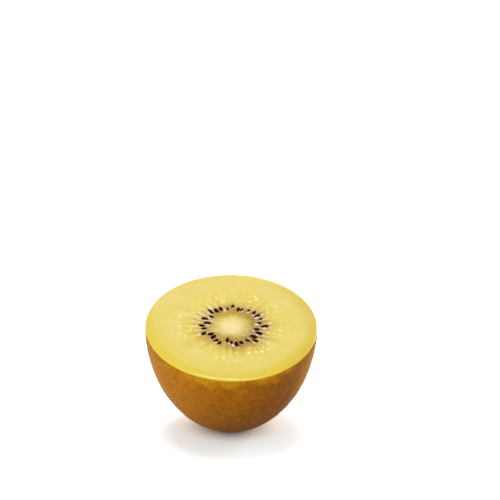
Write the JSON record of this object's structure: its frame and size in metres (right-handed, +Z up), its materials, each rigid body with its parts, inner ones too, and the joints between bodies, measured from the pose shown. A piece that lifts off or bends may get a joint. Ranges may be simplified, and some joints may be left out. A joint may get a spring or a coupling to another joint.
{
  "type": "golden kiwi fruit half",
  "caption": "Half of a golden kiwi fruit, cut across its middle: golden flesh with a pale core and a ring of dark seeds over a brown domed skin, resting on a small flat spot.",
  "frame": {"origin": "centre of the small flat spot that the half rests on", "axes": "+Z up, +X to the fruit's right as seen from the front, -Y the front, to which the cut face leans by 19 degrees"},
  "size_m": [0.0543, 0.0534, 0.0449],
  "materials": {
    "skin": "thin golden brown skin, satin, with fine darker freckles and very short bristles",
    "flesh": "wet, slightly translucent golden yellow flesh with fine rays and a pale cream core",
    "seeds": "smooth, glossy brown-black seed coat"
  },
  "bodies": {
    "root": {"kiwi_half": "skin"}
  },
  "joints": []
}
